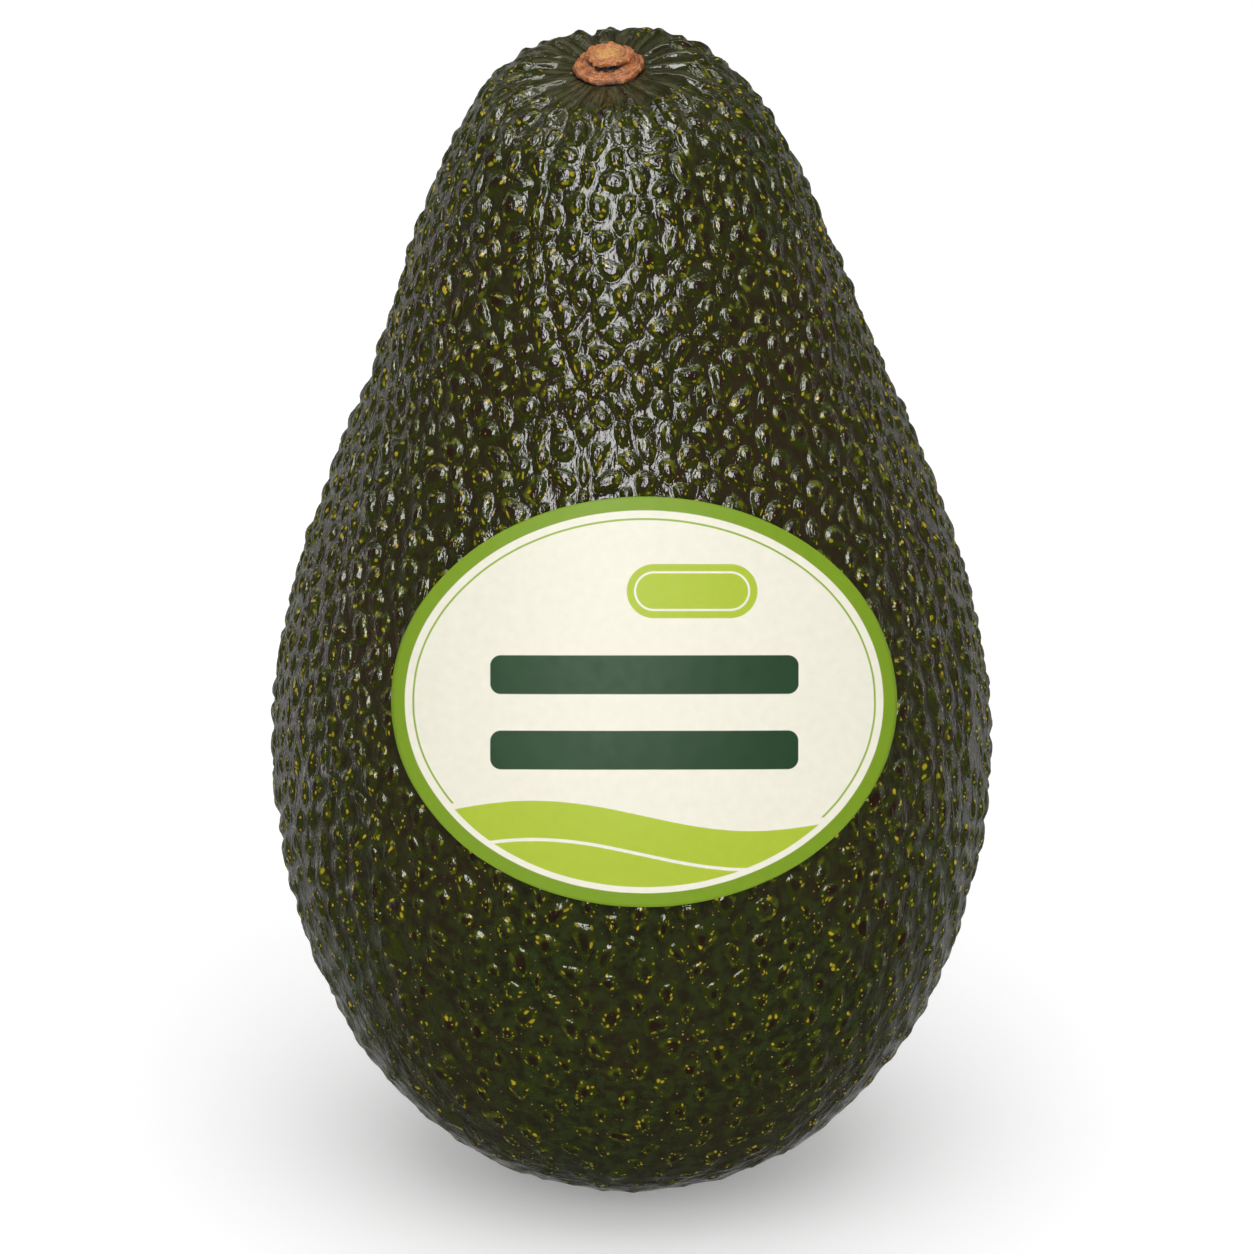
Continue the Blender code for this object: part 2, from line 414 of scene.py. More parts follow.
def makeSkin(material):
    ball, quads = ballGrid(skin["quadsAcross"], skin["quadsUp"])
    # equal shares of the ball go to equal shares of the fruit's area, times the crowding
    crowding = np.interp(arcLength / arcLength[-1], skin["crowdingAt"], skin["crowding"])
    perArc = outline[:, 0] * crowding
    share = np.concatenate([[0], np.cumsum((perArc[1:] + perArc[:-1]) / 2 * np.diff(arcLength))])
    arc = np.interp((1 + ball[:, 2]) / 2 * share[-1], share, arcLength)
    azimuth = np.arctan2(ball[:, 1], ball[:, 0])
    place, around, stemward, out = onFruit(arc, azimuth)
    # the pebbles wander: the relief is read a little beside each point
    wander, length = skin["wander"], skin["wanderLength"]
    read = (place + around * wander * waves(place, length, 21)[:, None]
            + stemward * wander * waves(place, length, 22)[:, None])
    toRim = arcLength[-1] - arc
    relief = pebbleRelief(arc, read)
    relief *= (smoothStep(*skin["pebblesFromStem"], toRim)
               * smoothStep(*skin["pebblesFromBottom"], arc))
    covered = 1 - smoothStep(*skin["labelEdge"], insideLabel(place))
    relief *= 1 - (1 - skin["underLabel"]) * covered
    # rounded folds with narrow valleys run from the stem over the rim and fade into the pebbles
    foldTurn = skin["foldSway"] * waves(place, skin["foldSwayLength"], 31)
    foldTurn = skin["folds"] / 2 * azimuth + foldTurn
    folds = (np.abs(np.cos(foldTurn)) - skin["foldLevel"]) * skin["foldHeight"]
    folds *= 1 + skin["foldUneven"] * waves(place, skin["foldUnevenLength"], 32)
    folds *= smoothStep(*skin["foldStart"], toRim)
    folds *= 1 - smoothStep(skin["foldFade"], 1.0, toRim / skin["foldEnd"])
    relief += folds
    swell = skin["swell"] * waves(place, skin["swellLength"], 41)
    swell *= smoothStep(*skin["swellFromBottom"], arc)
    relief += swell * smoothStep(*skin["swellFromStem"], toRim)
    place = place + out * relief[:, None]
    place[:, 2] = np.maximum(place[:, 2], 0.0)
    # outward quads
    corners = place[quads]
    normal = np.cross(corners[:, 2] - corners[:, 0], corners[:, 3] - corners[:, 1])
    inward = (normal * out[quads].mean(1)).sum(1) < 0
    quads[inward] = quads[inward][:, ::-1]
    # every corner also carries its place on its own pebble, in pebble sizes, and that pebble's
    # luck
    smooth = read[quads]
    own = ownPebble(arc[quads].mean(1), smooth.mean(1))
    away = smooth - pebblePlace[own][:, None]
    size = pebbleSize[own][:, None]
    up = (away * pebbleStemward[own][:, None]).sum(-1) / (size * pebbles["length"])
    side = (away * pebbleAround[own][:, None]).sum(-1) / (size * pebbles["width"])
    onPebble = np.stack([side / taperAt(up), up], -1)
    chance = np.random.default_rng(pebbles["seed"] + 2).uniform(0, 1, (len(pebbleArc), 2))[own]
    # and its turn over the folds, counted from the face's first corner so that no face spans the
    # seam
    turn = foldTurn[quads]
    halfTurn = pi / 2 * skin["folds"]
    turn = turn[:, :1] + np.mod(turn - turn[:, :1] + halfTurn, 2 * halfTurn) - halfTurn
    onFold = np.stack([turn, toRim[quads]], -1)
    maps = {"onPebble": onPebble.reshape(-1, 2), "onFold": onFold.reshape(-1, 2),
            "chance": np.repeat(chance, 4, 0)}
    return newPiece("avocadoSkin", place, quads, material, maps)


skinLook = dict(
    dark="#222012", green="#2E3918", brown="#302519", stemGreyAndSheen="#5A583E",
    ring="#30360D", brightRing="#686D18", scar="#25130C",
    speck="#BC9E26", dullSpeck="#767618", tanSpeck="#C08A50",
    roughLow=0.07, roughHigh=0.13, scarRough=0.06, ior=1.46,
    # rises in millimetres
    knobRise=0.25, wrinkleRise=0.085, swellRise=0.26, contourRise=0.012, foldRise=0.34,
    scarRise=-0.030, speckRise=0.010,
    # patterns, in waves or cells per millimetre
    shake=1.5, drift=0.07, mottle=0.9, patches=1.1, crumbs=2.3,
    foldWander=0.5, wrinkles=2.4, swells=0.85, contourWander=1.0,
)


def skinMaterial():
    # waxy cuticle over dark green and brown cork: very glossy, so that every knob carries its own
    # small crisp patch of light, with fine wrinkles along the fruit
    material, shader, add = newMaterial("waxyAvocadoSkin")
    colours = {key: linearColour(value) for key, value in skinLook.items()
               if isinstance(value, str)}
    look = {**skinLook, **colours}

    metres = add("TexCoord", out="Object")
    millimetres = add("VectorMath", metres, (1 / mm, 1 / mm, 1 / mm), operation="MULTIPLY")
    height = add("SeparateXYZ", millimetres, out=2)
    upperHalf = add("MapRange", height, 26.0, 62.0, **softStep)
    lucky = add("UVMap", uv_map="chance")
    luckX = add("SeparateXYZ", lucky, out=0)
    luckY = add("SeparateXYZ", lucky, out=1)
    # each pebble's own coordinates, shaken so that no two knobs have the same outline
    wobble = add("TexNoise", out=1,
                 links={"Vector": millimetres, "Scale": look["shake"], "Detail": 3.0})
    wobble = add("VectorMath", wobble, (0.5, 0.5, 0.5), operation="SUBTRACT")
    onPebble = add("UVMap", uv_map="onPebble")
    shaken = add("VectorMath", wobble, (0.42, 0.42, 0.0), onPebble, operation="MULTIPLY_ADD")
    out = add("VectorMath", shaken, operation="LENGTH", out=1)      # 1 on the shoulder of the knob

    # broad drift between green and brown, then a finer mottle; greener low down
    drift = add("TexNoise", links={"Vector": millimetres, "Scale": look["drift"]})
    mottle = add("TexNoise", links={"Vector": millimetres, "Scale": look["mottle"], "Detail": 4.0,
                                    "Roughness": 0.6})
    share = add("MapRange", mottle, 0.36, 0.68, **softStep)
    colour = add("Mix", links={0: share, 6: look["dark"], 7: look["green"]}, **colourMix)
    drift = add("MapRange", drift, 0.35, 0.65, 0.0, 0.34, **softStep)
    share = add("Math", upperHalf, 0.48, drift, operation="MULTIPLY_ADD")
    nearStem = add("MapRange", height, 86.0, 97.0, 1.0, 0.45, **softStep)
    share = add("Math", share, nearStem, operation="MULTIPLY")
    colour = add("Mix", links={0: share, 6: colour, 7: look["brown"]}, **colourMix)

    # paler and greyer round the stem: partly the skin's own grey, partly painted sheen on the fold
    # crests in fine streaks along them, with the valleys left darker as painted shade
    onFold = add("UVMap", uv_map="onFold")
    fromStem = add("SeparateXYZ", onFold, out=1)
    turn = add("SeparateXYZ", onFold, out=0)
    sway = add("TexNoise", links={"Vector": millimetres, "Scale": look["foldWander"],
                                  "Detail": 1.0})
    foldTurn = add("Math", sway, 1.6, turn, operation="MULTIPLY_ADD")
    fold = add("Math", add("Math", foldTurn, operation="COSINE"), operation="ABSOLUTE")
    greyAndSheenStreak = add("VectorMath", onFold, (2.2, 0.35, 0.0), operation="MULTIPLY")
    greyAndSheenStreak = add("TexNoise", links={"Vector": greyAndSheenStreak, "Scale": 1.0, "Detail": 3.0})
    share = add("Math", add("MapRange", greyAndSheenStreak, 0.36, 0.62, 0.15, 1.0, **softStep),
                add("MapRange", fold, 0.15, 0.85, 0.30, 1.0, **softStep), operation="MULTIPLY")
    nearStem = add("MapRange", fromStem, 15.0, 5.0, 0.0, 0.85, **softStep)
    share = add("Math", share, nearStem, operation="MULTIPLY")
    colour = add("Mix", links={0: share, 6: colour, 7: look["stemGreyAndSheen"]}, **colourMix)

    # broken olive rings round the knobs
    inner = add("MapRange", out, 0.50, 0.85, **softStep)
    outer = add("MapRange", out, 1.45, 1.00, **softStep)
    patchy = add("TexNoise", links={"Vector": millimetres, "Scale": look["patches"], "Detail": 2.0})
    patchy = add("MapRange", patchy, 0.54, 0.70, 0.0, 0.80, **softStep)
    ring = add("Math", inner, outer, operation="MULTIPLY")
    colour = add("Mix", links={0: ring, 6: colour, 7: look["ring"]}, **colourMix)
    higher = add("MapRange", upperHalf, 0.0, 1.0, 0.55, 1.0)
    patchy = add("Math", patchy, higher, operation="MULTIPLY")
    ring = add("Math", ring, patchy, operation="MULTIPLY")
    colour = add("Mix", links={0: ring, 6: colour, 7: look["brightRing"]}, **colourMix)

    # specks: soft whole dots on a random lattice that moves with each pebble, 0.625 of a pebble
    # apart; a dot shows if its own middle lies on the knob's shoulder
    shift = add("VectorMath", lucky, (57.0, 31.0, 0.0), operation="MULTIPLY")
    lattice = add("VectorMath", shaken, (1.6, 1.6, 0.0), shift, operation="MULTIPLY_ADD")
    dots = add("TexVoronoi", out="Distance", links={"Vector": lattice, "Scale": 1.0},
               voronoi_dimensions="2D")
    dotMiddle = add("VectorMath", dots.node.outputs["Position"], shift, operation="SUBTRACT")
    dotMiddle = add("VectorMath", dotMiddle, (0.625, 0.625, 0.0), operation="MULTIPLY")
    dotOut = add("VectorMath", dotMiddle, operation="LENGTH", out=1)
    luckRed = add("SeparateColor", dots.node.outputs["Color"], out=0)
    luckGreen = add("SeparateColor", dots.node.outputs["Color"], out=1)
    luckBlue = add("SeparateColor", dots.node.outputs["Color"], out=2)
    inner = add("MapRange", dotOut, 0.50, 0.72, **softStep)
    outer = add("MapRange", dotOut, 1.30, 1.00, **softStep)
    shoulder = add("Math", inner, outer, operation="MULTIPLY")
    often = add("Math", shoulder, 0.62, operation="MULTIPLY")
    shown = add("Math", luckRed, often, operation="LESS_THAN")
    dotSize = add("Math", luckGreen, 0.26, 0.16, operation="MULTIPLY_ADD")
    dot = add("MapRange", add("Math", dotSize, dots, operation="SUBTRACT"), 0.0, 0.17, **softStep)
    dot = add("Math", dot, shown, operation="MULTIPLY")
    dotColour = add("Mix", links={0: luckBlue, 6: look["dullSpeck"], 7: look["speck"]}, **colourMix)
    colour = add("Mix", links={0: dot, 6: colour, 7: dotColour}, **colourMix)

    # a dark corky scar on the crown of most knobs
    scarFar = add("VectorMath", shaken, (0.12, 0.05, 0.0), operation="DISTANCE", out=1)
    scarSize = add("MapRange", luckY, 0.05, 1.0, 0.20, 0.66)
    scar = add("Math", scarSize, scarFar, operation="SUBTRACT")
    scar = add("MapRange", scar, -0.06, 0.16, **softStep)
    scar = add("Math", scar, add("MapRange", luckX, 0.0, 0.6, 0.35, 0.95), operation="MULTIPLY")
    scar = add("Math", scar, add("MapRange", upperHalf, 0.0, 1.0, 1.0, 0.65), operation="MULTIPLY")
    colour = add("Mix", links={0: scar, 6: colour, 7: look["scar"]}, **colourMix)

    # crumbs: tiny yellow and tan dots anywhere, more of them on the scars
    crumbs = add("TexVoronoi", out="Distance",
                 links={"Vector": millimetres, "Scale": look["crumbs"]})
    crumbRed = add("SeparateColor", crumbs.node.outputs["Color"], out=0)
    crumbGreen = add("SeparateColor", crumbs.node.outputs["Color"], out=1)
    crumbBlue = add("SeparateColor", crumbs.node.outputs["Color"], out=2)
    crumbSize = add("Math", crumbGreen, 0.14, 0.11, operation="MULTIPLY_ADD")
    often = add("MapRange", upperHalf, 0.0, 1.0, 0.24, 0.12)
    often = add("Math", scar, 0.30, often, operation="MULTIPLY_ADD")
    crumb = add("Math", crumbSize, crumbs, operation="SUBTRACT")
    crumb = add("MapRange", crumb, 0.0, 0.10, **softStep)
    shown = add("Math", crumbRed, often, operation="LESS_THAN")
    crumb = add("Math", crumb, shown, operation="MULTIPLY")
    crumbColour = add("Mix", links={0: crumbBlue, 6: look["speck"], 7: look["tanSpeck"]},
                      **colourMix)
    colour = add("Mix", links={0: crumb, 6: colour, 7: crumbColour}, **colourMix)

    # gloss: waxy, a little duller on the scars
    rough = add("MapRange", mottle, 0.3, 0.7, look["roughLow"], look["roughHigh"])
    rough = add("Math", scar, look["scarRough"], rough, operation="MULTIPLY_ADD")
    shader.inputs["IOR"].default_value = look["ior"]

    # relief in millimetres: the folds' crests, the steep flank of each knob, contour rings, swells
    # and wrinkles drawn out along the fruit, and pits in the scars
    fold = add("Math", fold, add("MapRange", fromStem, 3.0, 4.6, **softStep), operation="MULTIPLY")
    fold = add("Math", fold, add("MapRange", fromStem, 12.5, 7.0, **softStep), operation="MULTIPLY")
    flank = add("MapRange", out, 1.30, 0.55, **softStep)
    rise = add("Math", add("MapRange", luckY, 0.0, 1.0, 0.55, 1.0),
               add("MapRange", height, 18.0, 60.0, 0.30, 1.0), operation="MULTIPLY")
    rise = add("Math", rise, look["knobRise"], operation="MULTIPLY")
    relief = add("Math", flank, rise, operation="MULTIPLY")
    relief = add("Math", fold, look["foldRise"], relief, operation="MULTIPLY_ADD")
    calm = add("MapRange", fromStem, 5.0, 13.0, 0.30, 1.0, **softStep)
    drawn = add("VectorMath", millimetres, (1.0, 1.0, 0.36), operation="MULTIPLY")
    wrinkle = add("TexNoise", links={"Vector": drawn, "Scale": look["wrinkles"], "Detail": 2.0,
                                     "Roughness": 0.5, "Distortion": 0.8})
    swell = add("TexNoise", links={"Vector": drawn, "Scale": look["swells"], "Detail": 1.0})
    swell = add("Math", swell, calm, operation="MULTIPLY")
    relief = add("Math", swell, look["swellRise"], relief, operation="MULTIPLY_ADD")
    contour = add("TexNoise", links={"Vector": millimetres, "Scale": look["contourWander"],
                                     "Detail": 2.0})
    turn = add("Math", out, 11.0, operation="MULTIPLY")
    turn = add("Math", contour, 9.0, turn, operation="MULTIPLY_ADD")
    contour = add("Math", add("Math", turn, operation="SINE"),
                  add("MapRange", out, 1.8, 1.3, **softStep), operation="MULTIPLY")
    relief = add("Math", contour, look["contourRise"], relief, operation="MULTIPLY_ADD")
    wrinkle = add("Math", wrinkle, calm, operation="MULTIPLY")
    relief = add("Math", wrinkle, look["wrinkleRise"], relief, operation="MULTIPLY_ADD")
    relief = add("Math", scar, look["scarRise"], relief, operation="MULTIPLY_ADD")
    relief = add("Math", dot, look["speckRise"], relief, operation="MULTIPLY_ADD")
    normal = add("Bump", links={"Height": relief, "Strength": 1.0, "Distance": mm})
    linkShader(shader, {"Base Color": colour, "Roughness": rough, "Normal": normal})
    return material


rideOnFruit(makeSkin(skinMaterial()), "fruit")


def discGrid(count):
    # a square grid bent to a round disc: x = u sqrt(1 - v^2/2), y = v sqrt(1 - u^2/2); and its
    # border loop
    line = np.linspace(-1, 1, count + 1)
    u, v = [g.ravel() for g in np.meshgrid(line, line, indexing="ij")]
    spot = np.arange((count + 1) ** 2).reshape(count + 1, count + 1)
    quads = np.stack([spot[:-1, :-1], spot[1:, :-1], spot[1:, 1:], spot[:-1, 1:]], -1)
    quads = quads.reshape(-1, 4)
    border = np.concatenate([spot[:-1, 0], spot[-1, :-1], spot[:0:-1, -1], spot[0, :0:-1]])
    return u * np.sqrt(1 - v * v / 2), v * np.sqrt(1 - u * u / 2), quads, border


def makeLabel(material):
    # the oval carried along the facing direction onto the fruit, lifted clear of the pebbles; a
    # front, a back and a thin wall between their borders
    x, y, quads, border = discGrid(label["quadsAcross"])
    right, up = x * label["width"] / 2, y * label["height"] / 2
    arc, azimuth = frontPlace(right, up, centreOfLabel)
    place, _, _, out = onFruit(arc, azimuth)
    ripple = label["ripple"] * (pebbleRelief(arc, place) + pebbles["sunk"]) - label["settled"]
    ripple += label["sway"] * waves(place, label["swayLength"], 51)
    back = place + out * (label["lift"] + ripple)[:, None]
    front = back + out * label["thickness"]
    count = len(place)
    after = np.roll(border, -1)
    wall = np.stack([border, after, after + count, border + count], 1)
    faces = np.vstack([quads + count, quads[:, ::-1], wall])
    printed = np.tile(np.stack([right, up], 1), (2, 1))
    maps = {"printed": printed[faces].reshape(-1, 2)}
    return newPiece("ovalSticker", np.vstack([back, front]), faces, material, maps)


labelPrint = dict(           # millimetres, from the sticker's middle
    border=1.19, rule=1.93, ruleWidth=0.17, gap=0.52,
    bandTop=-9.7, bandDip=1.3, bandTurn=0.17, stripeDrop=3.3, stripeWidth=0.28,
    barWide=26.0, barTall=3.3, barRounding=0.9, bars=(2.3, -4.1),
    markRight=4.0, markUp=9.4, markWide=11.0, markTall=4.6, markRing=0.7, markRingWidth=0.18,
    softEdge=0.03,
    green="#7B9C10", bandGreen="#AEC230", cream="#EFEBDA", ink="#1C4321", ruleGreen="#96B242",
    roughLow=0.55, roughHigh=0.65, specular=0.22, grainRise=0.004,
)


def stickerMaterial():
    # satin printed film: smooth, with a broad dull sheen and the faintest grain; the print is drawn
    # from distances to its shapes: two plain bars, a plain rounded mark and a plain band
    material, shader, add = newMaterial("satinPrintedFilm")
    printed = labelPrint
    spot = add("UVMap", uv_map="printed")
    x, y = add("SeparateXYZ", spot, out=0), add("SeparateXYZ", spot, out=1)
    # distance inside the oval's edge: (1 - k) k / |(x/a^2, y/b^2)| with k = |(x/a, y/b)|
    a, b = label["width"] / 2, label["height"] / 2
    scaled = add("VectorMath", spot, (1 / a, 1 / b, 0), operation="MULTIPLY")
    k = add("VectorMath", scaled, operation="LENGTH", out=1)
    scaled = add("VectorMath", spot, (1 / a ** 2, 1 / b ** 2, 0), operation="MULTIPLY")
    slope = add("VectorMath", scaled, operation="LENGTH", out=1)
    slope = add("Math", slope, 1e-4, operation="MAXIMUM")
    inside = add("Math", add("Math", 1.0, k, operation="SUBTRACT"), k, operation="MULTIPLY")
    inside = add("Math", inside, slope, operation="DIVIDE")

    # each layer of the print is a colour and the distance outside its shape
    layers = []
    rule = add("Math", inside, printed["rule"], operation="SUBTRACT")
    rule = add("Math", rule, operation="ABSOLUTE")
    layers.append(("ruleGreen", add("Math", rule, printed["ruleWidth"] / 2, operation="SUBTRACT")))
    # the band at the foot: below one plain curve, inside a cream gap, with one cream stripe
    curve = add("Math", add("Math", x, printed["bandTurn"], operation="MULTIPLY"), operation="SINE")
    curve = add("Math", curve, -printed["bandDip"], printed["bandTop"], operation="MULTIPLY_ADD")
    above = add("Math", y, curve, operation="SUBTRACT")
    gap = add("Math", above, printed["gap"], operation="SUBTRACT")
    fromBorder = add("Math", printed["border"], inside, operation="SUBTRACT")
    layers.append(("cream", add("Math", gap, fromBorder, operation="MAXIMUM")))
    fromGap = add("Math", fromBorder, printed["gap"], operation="ADD")
    layers.append(("bandGreen", add("Math", above, fromGap, operation="MAXIMUM")))
    stripe = add("Math", above, printed["stripeDrop"], operation="ADD")
    stripe = add("Math", stripe, operation="ABSOLUTE")
    layers.append(("cream", add("Math", stripe, printed["stripeWidth"] / 2, operation="SUBTRACT")))
    layers.append(("green", add("Math", inside, printed["border"], operation="SUBTRACT")))

    def outsideBar(right, up, wide, tall, rounding):
        # how far a point sticks out past the bar's inner box, less the rounding
        inner = (wide / 2 - rounding, tall / 2 - rounding, 0.0)
        away = add("VectorMath", spot, (right, up, 0.0), operation="SUBTRACT")
        past = add("VectorMath", add("VectorMath", away, operation="ABSOLUTE"), inner,
                   operation="SUBTRACT")
        past = add("VectorMath", past, (0.0, 0.0, 0.0), operation="MAXIMUM")
        past = add("VectorMath", past, operation="LENGTH", out=1)
        return add("Math", past, rounding, operation="SUBTRACT")

    for up in printed["bars"]:
        bar = outsideBar(0.0, up, printed["barWide"], printed["barTall"], printed["barRounding"])
        layers.append(("ink", bar))
    mark = outsideBar(printed["markRight"], printed["markUp"], printed["markWide"],
                      printed["markTall"], printed["markTall"] / 2)
    layers.append(("bandGreen", mark))
    ring = add("Math", mark, printed["markRing"], operation="ADD")
    ring = add("Math", ring, operation="ABSOLUTE")
    layers.append(("cream", add("Math", ring, printed["markRingWidth"] / 2, operation="SUBTRACT")))

    grain = add("TexNoise", links={"Vector": spot, "Scale": 1.1, "Detail": 5.0})
    colour = linearColour(printed["cream"])
    for name, distance in layers:
        share = add("MapRange", distance, printed["softEdge"], -printed["softEdge"])
        ink = linearColour(printed[name])
        colour = add("Mix", links={0: share, 6: colour, 7: ink}, **colourMix)
    tint = add("CombineXYZ", *[add("MapRange", grain, 0.3, 0.7, 0.955, 1.0)] * 3)
    colour = add("VectorMath", colour, tint, operation="MULTIPLY")
    fibres = add("TexNoise", links={"Vector": spot, "Scale": 4.0, "Detail": 3.0})
    normal = add("Bump", links={"Height": fibres, "Strength": 1.0,
                                "Distance": printed["grainRise"] * mm})
    rough = add("MapRange", grain, 0.3, 0.7, printed["roughLow"], printed["roughHigh"])
    shader.inputs["Specular IOR Level"].default_value = printed["specular"]
    linkShader(shader, {"Base Color": colour, "Roughness": rough, "Normal": normal})
    return material


rideOnFruit(makeLabel(stickerMaterial()), "label")


stemButton = dict(           # millimetres, heights above the button's foot
    foot=-0.30, turns=220, rows=170,
    crackHeight=1.04, crackTurn=38.0,          # degrees either side of the front
    crackOpen=0.44, crackDepth=0.75, crackFold=0.14, ragged=0.6, raggedLength=0.8,
    uneven=0.09, unevenLength=2.6, rough=0.06,
    # dark is painted shade, for the crack and the groove at the button's foot
    pale="#DCA552", orange="#C46E30", rust="#8C4520", dark="#1E0C07",
)

# radius and height: up the rounded edge of the base, in over two terraces to the crack, out round
# the cap and over its top to the small ring in the middle
buttonRows = np.array([
    (0.0, 0.0), (2.70, 0.0), (2.90, 0.08), (2.98, 0.25), (3.00, 0.48), (2.95, 0.66),
    (2.84, 0.77), (2.72, 0.80), (2.62, 0.76), (2.55, 0.68), (2.48, 0.72), (2.40, 0.84),
    (2.30, 0.87), (2.22, 0.80), (2.16, 0.74), (2.10, 0.80), (2.02, 0.90), (1.90, 0.93),
    (1.78, 0.94), (1.70, 0.96), (1.64, 1.04), (1.70, 1.12), (1.86, 1.14), (1.97, 1.22),
    (2.03, 1.40), (2.02, 1.60), (1.96, 1.72), (1.84, 1.78), (1.60, 1.77), (1.20, 1.72),
    (0.85, 1.70), (0.64, 1.72), (0.55, 1.80), (0.45, 1.82), (0.38, 1.74), (0.30, 1.68),
    (0.16, 1.69), (0.0, 1.70),
])


def makeButton(material):
    # the rows turned round the button's axis, made irregular by soft random fields and opened by
    # the crack at the front, then stood in the hollow with the fruit's lean
    settings = stemButton
    steps = np.linalg.norm(np.diff(buttonRows, axis=0), axis=1)
    along = np.concatenate([[0], np.cumsum(steps)])
    fine = np.linspace(0, along[-1], settings["rows"])[1:-1]
    around = settings["turns"]
    angle = np.arange(around) * 2 * pi / around
    radius = np.interp(fine, along, buttonRows[:, 0])[:, None] * np.ones(around)
    height = np.interp(fine, along, buttonRows[:, 1])[:, None] * np.ones(around)
    # the crack: its floor lies deeper and its lips stand apart at the front, elsewhere it is all
    # but shut
    middle = settings["crackHeight"]
    turn = np.abs(np.mod(angle - pi / 2 + radians(fruit["leanHeading"]) + pi, 2 * pi) - pi)
    opened = 1 - smoothStep(0.75, 1.15, turn / radians(settings["crackTurn"]))
    throat = np.exp(-((height - middle) / 0.10) ** 2) * smoothStep(2.0, 1.8, radius)
    radius = radius - throat * settings["crackDepth"] * opened
    radius = radius + throat * settings["crackFold"] * (1 - opened)
    lips = np.where(height > middle, 1.0, -1.0) * np.exp(-((height - middle) / 0.22) ** 2)
    edge = np.stack([2 * np.cos(angle), 2 * np.sin(angle), 0 * angle], -1)
    ragged = waves(edge, settings["raggedLength"], 66).clip(-1, 1)
    ragged = settings["crackOpen"] / 2 * (1 + settings["ragged"] * ragged)
    height = height + lips * ragged * opened * smoothStep(1.2, 1.5, radius)
    flat = np.stack([radius * np.cos(angle), radius * np.sin(angle), height], -1).reshape(-1, 3)
    reach = np.hypot(flat[:, 0], flat[:, 1])
    # the cap is less round than the base; the finest waves fray both
    uneven = waves(flat * (1, 1, 0.3), settings["unevenLength"], 61) + 0.5 * waves(flat, 0.8, 62)
    uneven *= settings["uneven"] * smoothStep(0.8, 1.9, reach)
    scale = 1 + uneven * np.where(flat[:, 2] > middle, 0.9, 0.30) + 0.008 * waves(flat, 0.25, 63)
    flat[:, :2] *= scale[:, None]
    bumps = waves(flat, 1.5, 64) + 0.6 * waves(flat, 0.4, 65)
    flat[:, 2] += settings["rough"] * bumps * smoothStep(0.3, 0.7, flat[:, 2])
    base = fruit["length"] + settings["foot"]
    ends = np.array([[0, 0, flat[:around, 2].mean()], [0, 0, flat[-around:, 2].mean()]])
    flat = np.vstack([flat, ends])
    placed, _, _ = lean(flat[:, 0], flat[:, 1], base + flat[:, 2])
    rings = np.arange(len(fine) * around).reshape(len(fine), around)
    after = np.roll(rings, -1, 1)
    quads = np.stack([rings[:-1], rings[1:], after[1:], after[:-1]], -1).reshape(-1, 4)
    under, over = len(flat) - 2, len(flat) - 1
    fans = np.vstack([np.stack([np.full(around, under), rings[0], after[0]], 1),
                      np.stack([np.full(around, over), after[-1], rings[-1]], 1)])
    corner = np.concatenate([quads.ravel(), fans.ravel()])
    reach = np.hypot(flat[:, 0], flat[:, 1])
    maps = {"onDisc": flat[corner][:, :2], "rise": np.stack([flat[corner][:, 2], reach[corner]], 1)}
    return newPiece("stemButton", placed, [quads, fans], material, maps)


